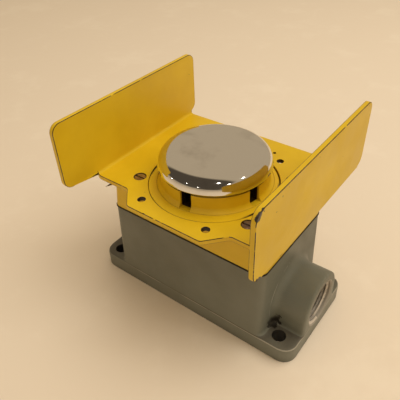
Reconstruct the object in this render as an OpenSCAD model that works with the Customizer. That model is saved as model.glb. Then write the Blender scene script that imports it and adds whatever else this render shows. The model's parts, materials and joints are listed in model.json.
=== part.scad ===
// Guarded palm-operated push-button control: a cast box with feet and one threaded
// conduit hub, a cast cover with a slotted collar, a bent sheet guard with two wings,
// and a chromed mushroom head that presses a double-break contact block.
//
// Frame: X runs along the box and +X is the hub end, Y runs across it, Z is up.
// The origin is on the mounting face, at the centre of the four foot holes.
// Sizes are in millimetres.

/* [Cast box] */
// Length of the box at its gasket face
box_len = 103.2; // [100:0.1:110]
// Width of the box at its gasket face
box_wid = 64.4; // [62:0.1:70]
// Height of the gasket face above the mounting face
box_top = 56.2; // [54:0.1:60]
// Growth of each half-size down to the floor, from the draft of the casting
draft = 1.2; // [0.2:0.1:2]
// Radius of the upright corners
corner_r = 4.5; // [3:0.5:6]
// Thickness of the side walls
wall = 4.4; // [3.5:0.1:5]
// Thickness of the floor
floor_t = 5; // [4:0.5:6]

/* [Feet] */
// Thickness of the feet
foot_t = 10.4; // [8:0.1:12]
// How far the plain end's foot reaches from the origin
foot_plain_x = 69.4; // [67:0.1:72]
// How far the hub end's foot reaches from the origin
foot_hub_x = 71.7; // [70:0.1:76]
// Radius of the feet's outer corners
foot_corner_r = 8; // [5:0.5:9]
// Distance between foot holes along the box
foot_hole_dx = 120.6; // [118:0.1:122]
// Distance between foot holes across the box
foot_hole_dy = 50.8; // [50:0.1:52]
// Radius of a foot hole
foot_hole_r = 3.8; // [3:0.1:4]

/* [Conduit hub] */
// Outer radius of the hub
hub_r = 18.7; // [17:0.1:19.5]
// Height of the hub's axis
hub_z = 21.1; // [20.5:0.1:24]
// Radius at the root of the conduit thread
thread_r = 13.3; // [12:0.1:13.5]
// Length of the conduit thread
thread_len = 16.2; // [12:0.1:17]
// Radius of the smooth throat behind the thread
throat_r = 10.5; // [9:0.1:11]
// Radius of the cove where the hub meets the end wall
hub_cove_r = 4.5; // [2:0.5:5]

/* [Cover] */
// Thickness of the gasket
gasket_t = 1; // [0.8:0.1:1.2]
// Height of the cover's flat top
cover_top = 75.3; // [74:0.1:78]
// Inset of the cover's top from its gasket edge, from draft
cover_draft = 1.2; // [0.2:0.1:2]
// Radius of the round platform that fills the guard's opening
platform_r = 36.2; // [35:0.1:36.4]
// Outer radius of the collar round the head
collar_r = 29.6; // [29:0.1:29.8]
// Wall thickness of the collar
collar_wall = 3.2; // [2.5:0.1:4]
// Height of the collar's top edge
collar_top = 87.6; // [86:0.1:88]
// Number of slots in the collar
slot_count = 5; // [3:1:6]
// Width of a collar slot
slot_wid = 6.5; // [5:0.1:8]
// Direction of the first slot from +X, in degrees
slot_first = -84.5; // [-90:0.5:-80]

/* [Guard] */
// Thickness of the guard sheet, about 12 gauge
sheet_t = 2.7; // [2:0.1:3]
// Distance from the centre to each wing's outer face
wing_x = 60.7; // [60:0.1:63]
// Half-length of a wing
wing_half = 57.6; // [56:0.1:60]
// Height of a wing's lower edge, where it is free
wing_bottom = 79.7; // [77.5:0.1:79.9]
// Height of a wing's top edge
wing_top = 119.1; // [110:0.1:122]
// Radius of a wing's corners
wing_corner_r = 5.5; // [4:0.5:12]
// Inner radius of the bends
bend_r = 2; // [1:0.5:4]
// Radius of the opening round the collar
opening_r = 36.8; // [35:0.1:38]

/* [Push-button head] */
// Outer radius of the head
head_r = 31.75; // [31.5:0.05:33]
// Height of the head's lower rim
head_rim = 89.1; // [89:0.1:91]
// Height of the head's shoulder, before its slight crown
head_top = 98; // [97:0.1:100]
// Thickness of the head's skirt
head_skin = 1; // [1:0.1:1.5]
// Radius of the head's rounded shoulder
head_round = 8; // [3:0.1:9]
// Lean of the head's skirt from upright, in degrees
head_lean = 10; // [0:1:15]
// Travel of the head when it is pressed
travel = 5; // [3:0.5:5]

/* [Contact block] */
// Length of the block along X
block_len = 48; // [46:1:56]
// Width of the block's body across Y
block_wid = 30; // [28:1:32]
// Distance of each contact bridge from the centre
bridge_x = 10; // [8:0.5:12]
// Distance of each contact tip from the centre line
tip_y = 7.2; // [6.5:0.1:8]

/* [Hidden] */
$fn = 64;

eps = 0.01;
hull_fn = 32;
round_fn = 128;
over = 1;
cut_len = 100;

// Cover screws: one at each corner, through guard, cover and gasket into the box
screw_x = 36.2;
screw_y = 22.8;
screw_r = 2.05;
screw_hole_r = 2.15;
screw_len = 38.1;
screw_head_r = 3.3;
screw_head_top = cover_top + 2.2;
screw_cone = 1.75;
screw_seat_gap = 0.05;
slot_w = 1.1;
slot_d = 0.9;
boss_r = 5.5;
boss_len = 24;
tap_depth = 20;

// Box: chamber corners, pads and tapped holes inside, and the bore's lead-in
chamber_r = 3;
mount_pad_r = 5;
mount_tap_r = 1.8;
mount_tap_z = floor_t + 1;
ground_pad_r = 4;
ground_pad_z = 9;
ground_tap_r = 1.6;
ground_tap_z = floor_t + 0.5;
hub_root_in = 2;
hub_cove_out = 0.4;
lead_in = 0.8;
lead_in_r = thread_r + 1;
gasket_out = 0.3;

// Guard: plan of the flat part, about its own datum
guard_z = cover_top;
guard_top = guard_z + sheet_t;
guard_dx = 0.2;
guard_dy = -1.5;
neck_front = -35.1;
neck_back = 53.1;
neck_x = 34.2;
tab_front = -46.7;
tab_x = 24;
blank_x = 90;
outline_round = 3;
accessory_x = 21.2;
accessory_y = 36.65;
accessory_r = 2.05;
pin_hole = [14.2, 41];
pin_hole_r = 0.8;
wing_inner_x = wing_x - sheet_t;
bend_x = wing_inner_x - bend_r;
bend_z = guard_top + bend_r;

// Cover and collar
cover_bottom = box_top + gasket_t;
cover_wall = wall + 1;
cover_roof = cover_top - 4;
collar_bore = collar_r - collar_wall;
platform_at = [guard_dx, guard_dy - 0.5];
platform_bottom = 70.5;
platform_edge = 1;
platform_top = guard_top - 0.1;
collar_cove_r = 3.2;
slot_floor = platform_top + 0.1;
slot_in = 3;
slot_out = 5;
cover_lip_z = 71.2;
cover_lip_in = 0.4;
cover_lip_share = 0.6;
boss_inset = 2;

// Bearing of the stem
stem_r = 5;
running_gap = 0.05;
bushing_r = 8;
bushing_flange_r = 10.5;
bushing_bottom = 60;
bushing_boss_top = 77.5;
bushing_top = 79.1;
cover_boss_r = 12;
nut_t = 3.2;
nut_r = 12.7;
nut_lift = 0.3;
cover_boss_bottom = bushing_bottom + nut_lift + nut_t;
seal_z = 75;
seal_r = 6;
seal_wire = 0.9;

// Stem, locknut and boss under the head
stem_bottom = 50.3;
stem_shoulder = 82.5;
stem_thread_r = 4;
stem_end = 0.8;
locknut_bottom = 84.4;
locknut_r = 7.5;
boss_bottom = 88;
boss_stud_r = 9;
stud_depth = 6;
head_roof = head_top - 1.2;
boss_flange_t = 1.5;
boss_flange_r = 19;
clip_z = 58.55;
clip_t = 1.1;
clip_r = 8.5;
clip_mouth = 6;
head_spring_r = 15;
head_spring_wire = 0.8;
head_spring_turns = 6;

// Contact block, from the floor up
bracket_z = 10;
bracket_t = 2;
bracket_len = 72;
bracket_wid = 18;
bracket_corner_r = 3;
block_bottom = bracket_z + bracket_t;
shelf_z = 17.8;
block_split = 30;
block_top = 38;
cover_well = 4;
carrier_bar_z = 27;
carrier_bar_t = 4;
carrier_top = stem_bottom - 0.3;
button_r = 4;
strip_t = 1;
tip_r = 1.6;
tip_t = 0.9;
well_r = 4.5;
well_z = 14;
block_spring_r = 3;
block_spring_wire = 0.35;
terminal_y = 17.6;
shelf_y = 21;
block_screw_x = 20.5;
block_screw_r = 1.5;
block_hole_r = 1.6;
block_corner_r = 2;
block_foot_in = 4;
well_x = 17;
well_y = 11;
strip_wid = 5;
terminal_r = 1.5;
terminal_depth = 4.8;
clamp_t = 1.1;
bridge_half = 9;
carrier_len = 30;
carrier_wid = 7;
closed_gap = 5.2;
bracket_screw_x = 30;
bracket_screw_r = 1.75;
ground_at = [-41, 14];

// ---- shapes used by several parts ----

// A rectangle with round corners, centred on the origin
module round_rect(len, wid, r) {
    square([len - 2 * r, wid], center = true);
    square([len, wid - 2 * r], center = true);
    for (sx = [-1, 1], sy = [-1, 1])
        translate([sx * (len / 2 - r), sy * (wid / 2 - r)])
            circle(r);
}

// A round-cornered block whose two ends differ in size, as a drafted casting does
module drafted_block(len, wid, z_low, grow_low, z_high, grow_high, r) {
    hull() {
        translate([0, 0, z_low])
            linear_extrude(eps)
                round_rect(len + 2 * grow_low, wid + 2 * grow_low, r, $fn = hull_fn);
        translate([0, 0, z_high - eps])
            linear_extrude(eps)
                round_rect(len + 2 * grow_high, wid + 2 * grow_high, r, $fn = hull_fn);
    }
}

// Its children, repeated at the four cover screws
module at_cover_screws() {
    for (sx = [-1, 1], sy = [-1, 1])
        translate([sx * screw_x, sy * screw_y, 0])
            children();
}

// Its children, repeated at both contact bridges and both sides
module at_tips(y) {
    for (sx = [-1, 1], sy = [-1, 1])
        translate([sx * bridge_x, sy * y, 0])
            children();
}

// A slotted round-headed screw, its head seated at z = 0 and its shank pointing down
module slotted_screw(shank_r, shank_len, head_r, head_t) {
    side_share = 0.6;
    top_share = 0.7;
    slot = 0.8;
    difference() {
        union() {
            translate([0, 0, -shank_len])
                cylinder(r = shank_r, h = shank_len + eps);
            cylinder(r = head_r, h = head_t * side_share);
            translate([0, 0, head_t * side_share])
                cylinder(r1 = head_r, r2 = head_r * top_share, h = head_t * (1 - side_share));
        }
        translate([-head_r - over, -slot / 2, head_t / 2])
            cube([2 * (head_r + over), slot, head_t]);
    }
}

// A cove ring about Z: fills the corner between a post of radius r and a floor at z = 0
module cove_ring(r, cove) {
    rotate_extrude()
        difference() {
            translate([r - over, -over])
                square([cove + over, cove + over]);
            translate([r + cove, cove])
                circle(cove);
        }
}

// Points of one turn-by-turn coil, swept with a ring at every step
function coil_point(r, z, h, turns, t) =
    [r * cos(360 * turns * t), r * sin(360 * turns * t), z + h * t];

function coil_ring(r, z, h, turns, t, wire_r, sides) =
    let (a = 360 * turns * t, c = coil_point(r, z, h, turns, t))
    [for (k = [0 : sides - 1])
        let (b = 360 * k / sides)
        [c[0] + wire_r * cos(b) * cos(a), c[1] + wire_r * cos(b) * sin(a), c[2] + wire_r * sin(b)]];

// A coil spring about Z, from z_low to z_high over the outside of its wire
module coil_spring(mean_r, wire_r, z_low, z_high, turns, per_turn = 20, sides = 8) {
    steps = turns * per_turn;
    z = z_low + wire_r;
    h = z_high - z_low - 2 * wire_r;
    rings = [for (i = [0 : steps]) coil_ring(mean_r, z, h, turns, i / steps, wire_r, sides)];
    points = [for (ring = rings, p = ring) p];
    walls = [for (i = [0 : steps - 1], k = [0 : sides - 1])
        let (n = (k + 1) % sides)
        [i * sides + k, i * sides + n, (i + 1) * sides + n, (i + 1) * sides + k]];
    first_cap = [[for (k = [0 : sides - 1]) sides - 1 - k]];
    last_cap = [[for (k = [0 : sides - 1]) steps * sides + k]];
    polyhedron(points = points, faces = concat(walls, first_cap, last_cap), convexity = 6);
}

// ---- enclosure ----

// The foot flange, flush with the box's long sides
module feet() {
    len = foot_plain_x + foot_hub_x;
    translate([(foot_hub_x - foot_plain_x) / 2, 0, 0])
        linear_extrude(foot_t)
            round_rect(len, box_wid + 2 * draft, foot_corner_r);
}

// The conduit hub: a round boss whose sides run straight down to the floor
module hub() {
    root_x = box_len / 2 - hub_root_in;
    translate([root_x, 0, hub_z])
        rotate([0, 90, 0])
            cylinder(r = hub_r, h = foot_hub_x - root_x);
    translate([root_x, -hub_r, 0])
        cube([foot_hub_x - root_x, 2 * hub_r, hub_z]);
    intersection() {
        translate([box_len / 2 + hub_cove_out, 0, hub_z])
            rotate([0, 90, 0])
                cove_ring(hub_r, hub_cove_r);
        translate([0, -box_wid / 2, 0])
            cube([foot_hub_x, box_wid, box_top]);
    }
}

// The wiring chamber inside the box, with the four screw bosses left standing
module box_chamber() {
    difference() {
        translate([0, 0, floor_t])
            linear_extrude(box_top)
                round_rect(box_len - 2 * wall, box_wid - 2 * wall, chamber_r);
        at_cover_screws()
            translate([0, 0, box_top - boss_len])
                cylinder(r = boss_r, h = cut_len);
        for (sx = [-1, 1])
            translate([sx * bracket_screw_x, 0, 0])
                cylinder(r = mount_pad_r, h = bracket_z);
        translate([ground_at[0], ground_at[1], 0])
            cylinder(r = ground_pad_r, h = ground_pad_z);
    }
}

module base_box() {
    color("#6e6c60")
        difference() {
            union() {
                drafted_block(box_len, box_wid, 0, draft, box_top, 0, corner_r);
                feet();
                hub();
            }
            box_chamber();
            at_cover_screws()
                translate([0, 0, box_top - tap_depth])
                    cylinder(r = screw_hole_r, h = cut_len);
            for (sx = [-1, 1], sy = [-1, 1])
                translate([sx * foot_hole_dx / 2, sy * foot_hole_dy / 2, -over])
                    cylinder(r = foot_hole_r, h = foot_t + 2 * over);
            for (sx = [-1, 1])
                translate([sx * bracket_screw_x, 0, mount_tap_z])
                    cylinder(r = mount_tap_r, h = bracket_z);
            translate([ground_at[0], ground_at[1], ground_tap_z])
                cylinder(r = ground_tap_r, h = ground_pad_z);
            translate([0, 0, hub_z])
                rotate([0, 90, 0]) {
                    cylinder(r = throat_r, h = cut_len);
                    translate([0, 0, foot_hub_x - lead_in - thread_len])
                        cylinder(r = thread_r, h = cut_len);
                    translate([0, 0, foot_hub_x - lead_in])
                        cylinder(r1 = thread_r, r2 = lead_in_r, h = lead_in + eps);
                }
        }
}

module cover_gasket() {
    color("#1c1b18")
        translate([0, 0, box_top])
            difference() {
                linear_extrude(gasket_t)
                    round_rect(box_len + 2 * gasket_out, box_wid + 2 * gasket_out, corner_r);
                difference() {
                    translate([0, 0, -over])
                        linear_extrude(gasket_t + 2 * over)
                            round_rect(box_len - 2 * wall, box_wid - 2 * wall, chamber_r);
                    at_cover_screws()
                        translate([0, 0, -2 * over])
                            cylinder(r = boss_r, h = gasket_t + 4 * over);
                }
                at_cover_screws()
                    translate([0, 0, -over])
                        cylinder(r = screw_hole_r, h = gasket_t + 2 * over);
            }
}

// The round platform, and the slotted collar that rises from it inside the head's skirt
module collar() {
    difference() {
        union() {
            translate([platform_at[0], platform_at[1], platform_bottom]) {
                cylinder(r1 = platform_r - platform_edge, r2 = platform_r, h = platform_edge, $fn = round_fn);
                translate([0, 0, platform_edge - eps])
                    cylinder(r = platform_r, h = platform_top - platform_bottom - platform_edge, $fn = round_fn);
            }
            translate([0, 0, platform_top - over])
                cylinder(r = collar_r, h = collar_top - platform_top + over, $fn = round_fn);
            translate([0, 0, platform_top])
                cove_ring(collar_r, collar_cove_r);
        }
        translate([0, 0, cover_top])
            cylinder(r = collar_bore, h = cut_len, $fn = round_fn);
        for (k = [0 : slot_count - 1])
            rotate([0, 0, slot_first + 360 * k / slot_count])
                translate([collar_bore - slot_in, -slot_wid / 2, slot_floor])
                    cube([collar_wall + slot_in + slot_out, slot_wid, cut_len]);
    }
}

module cover() {
    color("#e3b01c")
        difference() {
            union() {
                difference() {
                    union() {
                        drafted_block(box_len, box_wid, cover_bottom, 0,
                            cover_lip_z, -cover_draft * cover_lip_share, corner_r);
                        drafted_block(box_len, box_wid, cover_lip_z - eps,
                            -cover_draft * cover_lip_share - cover_lip_in, cover_top,
                            -cover_draft - cover_lip_in / 2, corner_r);
                    }
                    translate([0, 0, cover_bottom - over])
                        linear_extrude(cover_roof - cover_bottom + over)
                            round_rect(box_len - 2 * cover_wall, box_wid - 2 * cover_wall, chamber_r);
                }
                intersection() {
                    at_cover_screws()
                        translate([0, 0, cover_bottom])
                            cylinder(r = boss_r, h = cover_roof - cover_bottom + over);
                    translate([boss_inset - box_len / 2, boss_inset - box_wid / 2, 0])
                        cube([box_len - 2 * boss_inset, box_wid - 2 * boss_inset, cut_len]);
                }
                translate([0, 0, cover_boss_bottom])
                    cylinder(r = cover_boss_r, h = bushing_boss_top - cover_boss_bottom);
                difference() {
                    collar();
                    translate([0, 0, cover_bottom])
                        linear_extrude(cover_roof - cover_bottom)
                            round_rect(box_len - 2 * cover_wall, box_wid - 2 * cover_wall, chamber_r);
                }
            }
            at_cover_screws()
                translate([0, 0, cover_bottom - over])
                    cylinder(r = screw_hole_r, h = cut_len);
            translate([0, 0, cover_boss_bottom - over])
                cylinder(r = bushing_r, h = cut_len);
        }
}

// Plan of the guard's flat part: two necks to the wings and a tab at the front
module guard_outline() {
    intersection() {
        offset(r = outline_round)
            offset(r = -2 * outline_round)
                offset(r = outline_round)
                    polygon([
                        [-blank_x, neck_front], [-neck_x, neck_front], [-tab_x, tab_front],
                        [tab_x, tab_front], [neck_x, neck_front], [blank_x, neck_front],
                        [blank_x, neck_back], [-blank_x, neck_back]
                    ]);
        square([2 * bend_x, 2 * blank_x], center = true);
    }
}

// One wing with its bend; side is +1 or -1
module wing(side) {
    neck_mid = (neck_front + neck_back) / 2;
    neck_len = neck_back - neck_front;
    height = wing_top - wing_bottom;
    bend_cut = 20;
    difference() {
        translate([side > 0 ? wing_inner_x : -wing_x, 0, (wing_top + wing_bottom) / 2])
            rotate([90, 0, 90])
                linear_extrude(sheet_t)
                    round_rect(2 * wing_half, height, wing_corner_r);
        translate([side * wing_x, neck_mid, bend_z - bend_cut / 2])
            cube([bend_cut, neck_len, bend_cut], center = true);
    }
    translate([side * bend_x, neck_back, bend_z])
        rotate([90, 0, 0])
            linear_extrude(neck_len)
                intersection() {
                    difference() {
                        circle(bend_r + sheet_t);
                        circle(bend_r);
                    }
                    translate([side > 0 ? 0 : -bend_cut, -bend_cut])
                        square(bend_cut);
                }
}

module guard_plate() {
    color("#e8b820")
        difference() {
            union() {
                translate([0, 0, guard_z])
                    linear_extrude(sheet_t)
                        guard_outline();
                wing(1);
                wing(-1);
            }
            translate([guard_dx, guard_dy, guard_z - over])
                cylinder(r = opening_r, h = sheet_t + 2 * over, $fn = round_fn);
            at_cover_screws() {
                translate([0, 0, guard_z - over])
                    cylinder(r = screw_hole_r, h = sheet_t + 2 * over);
                translate([0, 0, screw_head_top - screw_cone - 0.1])
                    cylinder(r1 = screw_hole_r, r2 = screw_head_r + screw_seat_gap, h = screw_cone + 0.1);
                translate([0, 0, screw_head_top - eps])
                    cylinder(r = screw_head_r + screw_seat_gap, h = sheet_t);
            }
            for (sx = [-1, 1], sy = [-1, 1])
                translate([guard_dx + sx * accessory_x, guard_dy + sy * accessory_y, guard_z - over])
                    cylinder(r = accessory_r, h = sheet_t + 2 * over);
            translate([pin_hole[0], pin_hole[1], guard_z - over])
                cylinder(r = pin_hole_r, h = sheet_t + 2 * over);
        }
}

module cover_screws() {
    color("#8f8c84")
        at_cover_screws()
            translate([0, 0, screw_head_top])
                difference() {
                    union() {
                        translate([0, 0, -screw_len])
                            cylinder(r = screw_r, h = screw_len - screw_cone / 2);
                        translate([0, 0, -screw_cone])
                            cylinder(r1 = screw_r, r2 = screw_head_r, h = screw_cone);
                    }
                    translate([-screw_head_r - over, -slot_w / 2, -slot_d])
                        cube([2 * (screw_head_r + over), slot_w, slot_d + over]);
                }
}

// ---- bearing in the cover ----

module guide_bushing() {
    color("#b08a4a")
        difference() {
            union() {
                translate([0, 0, bushing_bottom])
                    cylinder(r = bushing_r, h = bushing_top - bushing_bottom);
                translate([0, 0, bushing_boss_top])
                    cylinder(r = bushing_flange_r, h = bushing_top - bushing_boss_top);
            }
            translate([0, 0, bushing_bottom - over])
                cylinder(r = stem_r + running_gap, h = cut_len);
            translate([0, 0, seal_z - seal_wire - running_gap])
                cylinder(r = seal_r + seal_wire + running_gap, h = 2 * (seal_wire + running_gap));
        }
}

module bushing_nut() {
    color("#a5a39a")
        translate([0, 0, cover_boss_bottom - nut_t])
            difference() {
                cylinder(r = nut_r, h = nut_t, $fn = 6);
                translate([0, 0, -over])
                    cylinder(r = bushing_r, h = nut_t + 2 * over);
            }
}

module stem_seal() {
    color("#222222")
        translate([0, 0, seal_z])
            rotate_extrude()
                translate([seal_r, 0])
                    circle(seal_wire, $fn = 24);
}

// ---- moving head and stem ----

function arc(cx, cy, r, a0, a1, n) =
    [for (i = [0 : n]) [cx + r * cos(a0 + (a1 - a0) * i / n), cy + r * sin(a0 + (a1 - a0) * i / n)]];

// Half-section of the head, from the crown's centre round the rim and back inside
module head_section() {
    crown = 0.5;
    crown_steps = 12;
    rim_r = 0.5;
    lip_r = 0.3;
    round_z = head_top - head_round;
    lean_z = round_z + head_round * sin(head_lean);
    lean_x = head_r - (lean_z - head_rim) * tan(head_lean);
    outer_c = lean_x - head_round * cos(head_lean);
    inner_round = head_round - head_skin;
    polygon(concat(
        [for (i = [0 : crown_steps - 1])
            let (x = outer_c * i / crown_steps)
            [x, head_top + crown * (1 - pow(x / outer_c, 2))]],
        arc(outer_c, round_z, head_round, 90, head_lean, 10),
        arc(head_r - rim_r, head_rim + rim_r, rim_r, head_lean, -90, 5),
        arc(head_r - head_skin + lip_r, head_rim + lip_r, lip_r, -90, head_lean - 180, 3),
        arc(outer_c, head_roof - inner_round, inner_round, head_lean, 90, 8),
        [[0, head_roof]]
    ));
}

module mushroom_cap() {
    color("#c9c6c0")
        rotate_extrude($fn = 128)
            head_section();
}

module cap_boss() {
    color("#9a978f")
        difference() {
            union() {
                translate([0, 0, boss_bottom])
                    cylinder(r = boss_stud_r, h = head_roof - boss_bottom);
                translate([0, 0, head_roof - boss_flange_t])
                    cylinder(r = boss_flange_r, h = boss_flange_t);
            }
            translate([0, 0, boss_bottom - over])
                cylinder(r = stem_thread_r, h = stud_depth + over);
        }
}

module stem_locknut() {
    color("#a5a39a")
        translate([0, 0, locknut_bottom])
            difference() {
                cylinder(r = locknut_r, h = boss_bottom - locknut_bottom, $fn = 6);
                translate([0, 0, -over])
                    cylinder(r = stem_thread_r, h = boss_bottom - locknut_bottom + 2 * over);
            }
}

module plunger_stem() {
    color("#b7b5ae")
        difference() {
            union() {
                translate([0, 0, stem_bottom + stem_end])
                    cylinder(r = stem_r, h = stem_shoulder - stem_bottom - stem_end);
                translate([0, 0, stem_bottom])
                    cylinder(r1 = stem_r - stem_end, r2 = stem_r, h = stem_end);
                translate([0, 0, stem_shoulder - over])
                    cylinder(r = stem_thread_r, h = boss_bottom + stud_depth - stem_shoulder + over);
            }
            translate([0, 0, clip_z])
                difference() {
                    cylinder(r = stem_r + over, h = clip_t);
                    translate([0, 0, -over])
                        cylinder(r = stem_thread_r, h = clip_t + 2 * over);
                }
        }
}

module stem_clip() {
    color("#55534e")
        translate([0, 0, clip_z])
            difference() {
                cylinder(r = clip_r, h = clip_t);
                translate([0, 0, -over])
                    cylinder(r = stem_thread_r, h = clip_t + 2 * over);
                translate([0, -clip_mouth / 2, -over])
                    cube([clip_r + over, clip_mouth, clip_t + 2 * over]);
            }
}

module return_spring() {
    color("#8d8b86")
        coil_spring(head_spring_r, head_spring_wire, cover_top, head_roof - boss_flange_t,
            head_spring_turns);
}

// ---- contact block ----

module switch_bracket() {
    color("#a9a79f")
        difference() {
            translate([0, 0, bracket_z])
                linear_extrude(bracket_t)
                    round_rect(bracket_len, bracket_wid, bracket_corner_r);
            for (sx = [-1, 1]) {
                translate([sx * bracket_screw_x, 0, bracket_z - over])
                    cylinder(r = bracket_screw_r + 0.15, h = bracket_t + 2 * over);
                translate([sx * block_screw_x, 0, bracket_z - over])
                    cylinder(r = block_screw_r + running_gap, h = bracket_t + 2 * over);
            }
        }
}

module bracket_screws() {
    color("#8f8c84")
        for (sx = [-1, 1])
            translate([sx * bracket_screw_x, 0, block_bottom])
                slotted_screw(bracket_screw_r, 5.8, 2 * bracket_screw_r, 2.5);
}

module contact_block_base() {
    color("#24211e")
        difference() {
            union() {
                translate([0, 0, block_bottom])
                    linear_extrude(block_split - block_bottom)
                        round_rect(block_len, block_wid, block_corner_r);
                translate([0, 0, block_bottom])
                    linear_extrude(shelf_z - block_bottom)
                        round_rect(block_len - 2 * block_foot_in, 2 * shelf_y, block_corner_r);
            }
            translate([-well_x, -well_y, shelf_z])
                cube([2 * well_x, 2 * well_y, cut_len]);
            translate([0, 0, well_z])
                cylinder(r = well_r, h = cut_len);
            for (sx = [-1, 1])
                translate([sx * block_screw_x, 0, 0])
                    cylinder(r = block_hole_r, h = cut_len);
            at_tips(terminal_y)
                translate([0, 0, shelf_z - terminal_depth])
                    cylinder(r = terminal_r, h = 2 * terminal_depth);
            for (sx = [-1, 1])
                translate([sx * bridge_x - strip_wid / 2, -shelf_y, shelf_z])
                    cube([strip_wid, 2 * shelf_y, strip_t]);
        }
}

module contact_block_cover() {
    color("#2b2724")
        difference() {
            translate([0, 0, block_split])
                linear_extrude(block_top - block_split)
                    round_rect(block_len, block_wid, block_corner_r);
            translate([-well_x, -well_y, block_split - over])
                cube([2 * well_x, 2 * well_y, cover_well + over]);
            translate([0, 0, block_split])
                cylinder(r = button_r + running_gap, h = cut_len);
            for (sx = [-1, 1])
                translate([sx * block_screw_x, 0, 0])
                    cylinder(r = block_hole_r, h = cut_len);
        }
}

module block_screws() {
    color("#8f8c84")
        for (sx = [-1, 1])
            translate([sx * block_screw_x, 0, block_top])
                slotted_screw(block_screw_r, block_top - bracket_z - 0.2, 2.9, 2.2);
}

module contact_carrier() {
    color("#6b1f16")
        union() {
            translate([-carrier_len / 2, -carrier_wid / 2, carrier_bar_z])
                cube([carrier_len, carrier_wid, carrier_bar_t]);
            translate([0, 0, carrier_bar_z + over])
                cylinder(r = button_r, h = carrier_top - carrier_bar_z - over);
        }
}

module contact_bridges() {
    color("#b3823a")
        for (sx = [-1, 1])
            translate([sx * bridge_x - strip_wid / 2, -bridge_half, carrier_bar_z - strip_t])
                cube([strip_wid, 2 * bridge_half, strip_t]);
}

module moving_contact_tips() {
    color("#d6d4ce")
        at_tips(tip_y)
            translate([0, 0, carrier_bar_z - strip_t - tip_t])
                cylinder(r = tip_r, h = tip_t);
}

module fixed_contacts() {
    color("#b3823a")
        difference() {
            for (sx = [-1, 1], sy = [-1, 1])
                translate([sx * bridge_x - strip_wid / 2, sy > 0 ? closed_gap : -shelf_y + 0.3, shelf_z])
                    cube([strip_wid, shelf_y - closed_gap - 0.3, strip_t]);
            at_tips(terminal_y)
                translate([0, 0, shelf_z - over])
                    cylinder(r = terminal_r, h = 4 * strip_t);
        }
}

module fixed_contact_tips() {
    color("#d6d4ce")
        at_tips(tip_y)
            translate([0, 0, shelf_z + strip_t])
                cylinder(r = tip_r, h = strip_t);
}

module terminal_clamps() {
    color("#a9a79f")
        difference() {
            at_tips(terminal_y)
                translate([-3, -2.4, shelf_z + strip_t])
                    cube([6, 4.8, clamp_t]);
            at_tips(terminal_y)
                cylinder(r = terminal_r, h = cut_len);
        }
}

module terminal_screws() {
    color("#b3823a")
        at_tips(terminal_y)
            translate([0, 0, shelf_z + strip_t + clamp_t])
                slotted_screw(terminal_r - running_gap, 6.5, 2.4, 2.2);
}

module carrier_spring() {
    color("#8d8b86")
        coil_spring(block_spring_r, block_spring_wire, well_z, carrier_bar_z, 6, 16, 6);
}

module ground_screw() {
    color("#3f7d3a")
        translate([ground_at[0], ground_at[1], ground_pad_z])
            slotted_screw(ground_tap_r - running_gap, 3.3, 3.4, 2.4);
}

// ---- which sub-part to draw ----

base_box();
cover_gasket();
cover();
guard_plate();
cover_screws();
guide_bushing();
bushing_nut();
stem_seal();
mushroom_cap();
cap_boss();
stem_locknut();
plunger_stem();
stem_clip();
return_spring();
switch_bracket();
bracket_screws();
contact_block_base();
contact_block_cover();
block_screws();
contact_carrier();
contact_bridges();
moving_contact_tips();
fixed_contacts();
fixed_contact_tips();
terminal_clamps();
terminal_screws();
carrier_spring();
ground_screw();
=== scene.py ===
# %% [markdown]
# # A guarded palm button, finished around its fixed frame
# The working model of this control comes first: a cast box with feet and one threaded
# hub, a cast cover with a slotted collar, a bent sheet guard and a chromed head on a
# sprung stem. Its pieces already have their true sizes and places. This lesson loads
# them, models the pieces that are seen again as a foundry, a press shop and a plating
# shop would leave them, and gives every piece a finish. Lengths are in metres.

# %% Load the frame
import json
import math
from contextlib import contextmanager

import bmesh
import bpy
from mathutils import Matrix, Vector


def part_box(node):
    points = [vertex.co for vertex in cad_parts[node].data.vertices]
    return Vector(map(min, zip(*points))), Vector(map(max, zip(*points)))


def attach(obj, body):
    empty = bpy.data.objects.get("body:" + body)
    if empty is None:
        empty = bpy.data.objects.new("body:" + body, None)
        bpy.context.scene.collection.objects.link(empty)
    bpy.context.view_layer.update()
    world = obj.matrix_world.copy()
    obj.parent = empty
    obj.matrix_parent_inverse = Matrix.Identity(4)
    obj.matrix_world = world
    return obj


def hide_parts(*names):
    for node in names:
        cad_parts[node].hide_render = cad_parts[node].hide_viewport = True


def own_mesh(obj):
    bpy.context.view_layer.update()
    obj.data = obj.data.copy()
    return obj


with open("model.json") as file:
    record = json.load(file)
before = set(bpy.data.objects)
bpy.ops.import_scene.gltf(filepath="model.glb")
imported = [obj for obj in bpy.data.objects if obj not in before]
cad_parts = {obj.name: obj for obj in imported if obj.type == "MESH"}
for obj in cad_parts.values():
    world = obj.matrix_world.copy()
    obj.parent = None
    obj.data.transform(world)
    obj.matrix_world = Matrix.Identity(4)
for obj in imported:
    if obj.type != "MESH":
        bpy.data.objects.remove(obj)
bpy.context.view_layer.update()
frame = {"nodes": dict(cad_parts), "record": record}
mm = 0.001
for leftover in ("Cube", "Light", "Camera"):
    if leftover in bpy.data.objects:
        bpy.data.objects.remove(bpy.data.objects[leftover])

# %% [markdown]
# ## The camera
# The camera stands at arm's length, above the near corner on the hub side, and rolls a
# little, as a hand-held one does. A direction and a roll say that in two values, which
# is easier to read and to change than a matrix.

# %% Place the camera
camera_at = Vector((129.5, -178.0, 235.1)) * mm
view_direction = Vector((-0.4889, 0.6169, -0.6168))
camera_roll = math.radians(-2.29)

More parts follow.
